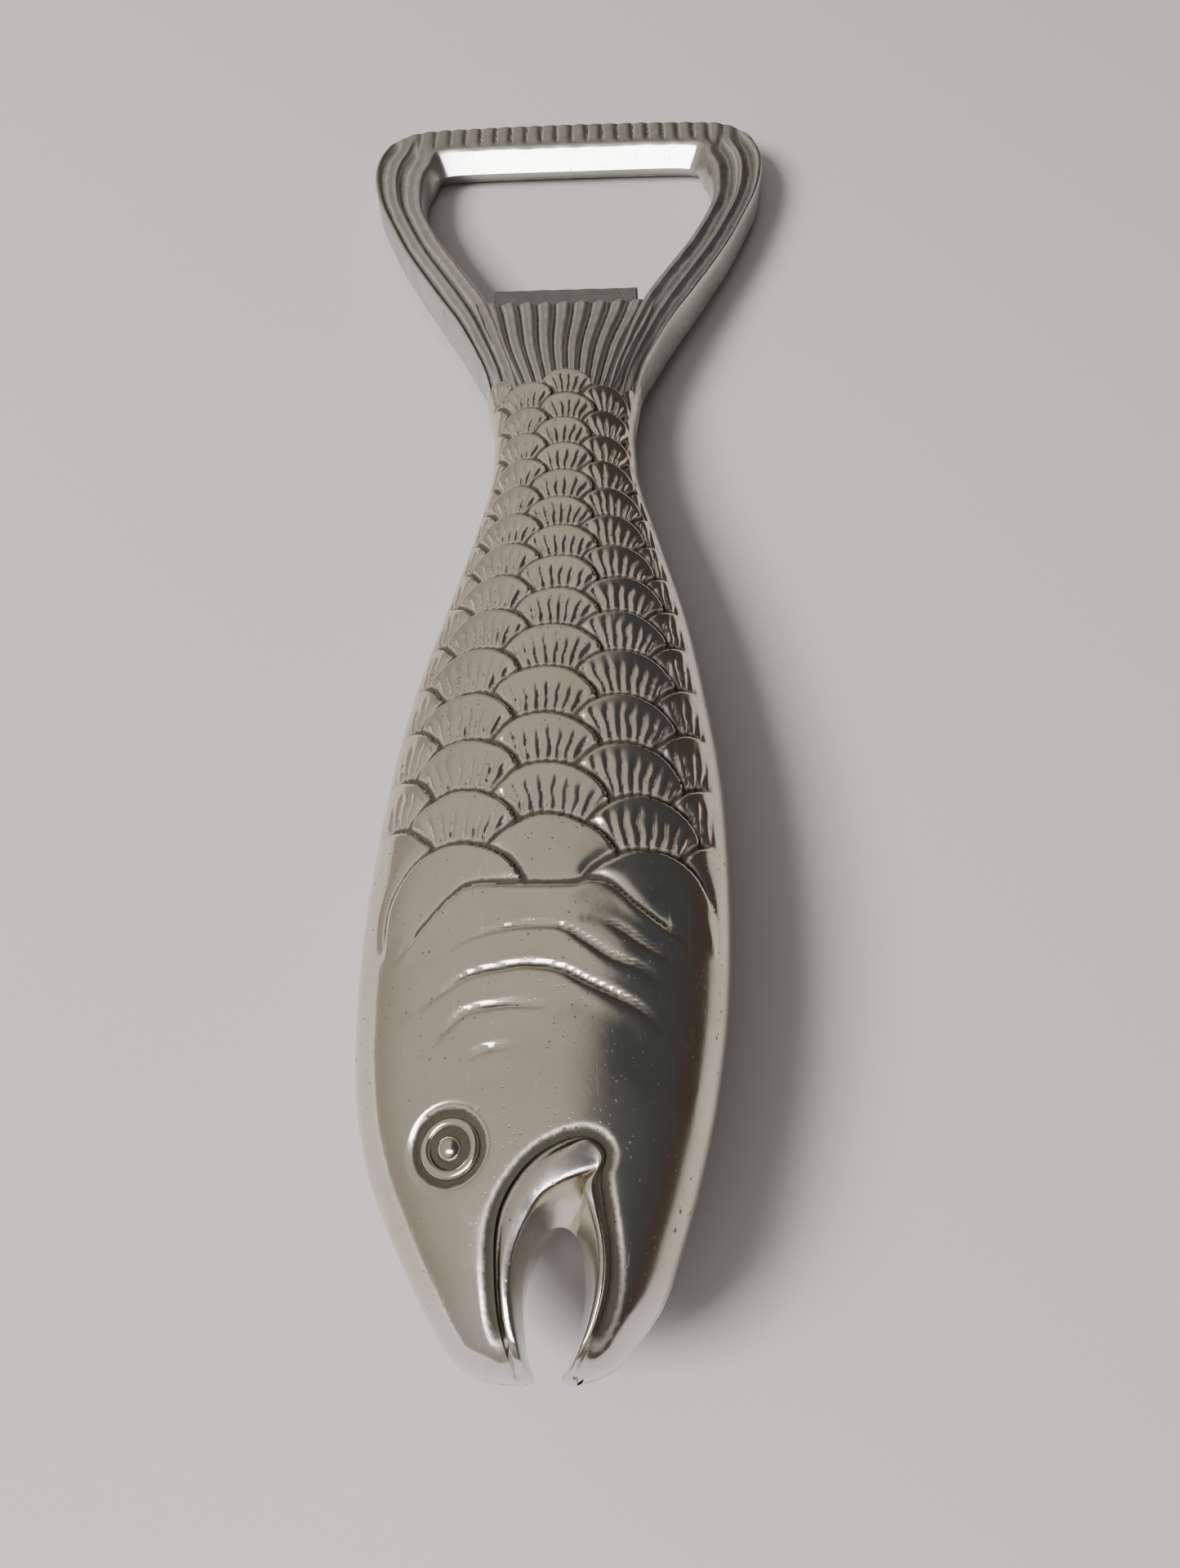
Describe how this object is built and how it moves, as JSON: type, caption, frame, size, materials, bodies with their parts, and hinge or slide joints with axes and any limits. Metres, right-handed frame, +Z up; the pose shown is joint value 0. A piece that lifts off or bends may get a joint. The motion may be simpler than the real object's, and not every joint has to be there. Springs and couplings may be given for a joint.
{
  "type": "fish bottle opener",
  "caption": "Cast metal cap lifter shaped like a fish, with a looped tail that holds a lifting lip, scaled flanks, ringed eyes and an open mouth slot.",
  "frame": {"origin": "centre of the box's footprint, at the height of the surface that the opener lies on", "axes": "+Y from the nose towards the tail, +X across the body, +Z up through the thickness"},
  "size_m": [0.048, 0.145, 0.0155],
  "materials": {
    "nickel_body": "worn warm nickel plate, polished on the head",
    "nickel_jaw": "bright nickel plate, rubbed at the tips",
    "nickel_tail": "dull greyed nickel plate with tarnish in the grooves",
    "lip_steel": "dull, scuffed along its edge"
  },
  "bodies": {
    "root": {"front_shell": "nickel_body", "back_shell": "nickel_body", "mouth_liner": "nickel_jaw", "eye_rivet": "nickel_body", "eye_ring_front": "nickel_jaw", "eye_ring_back": "nickel_jaw", "tail_frame": "nickel_tail", "lifter_plate": "lip_steel"}
  },
  "joints": []
}
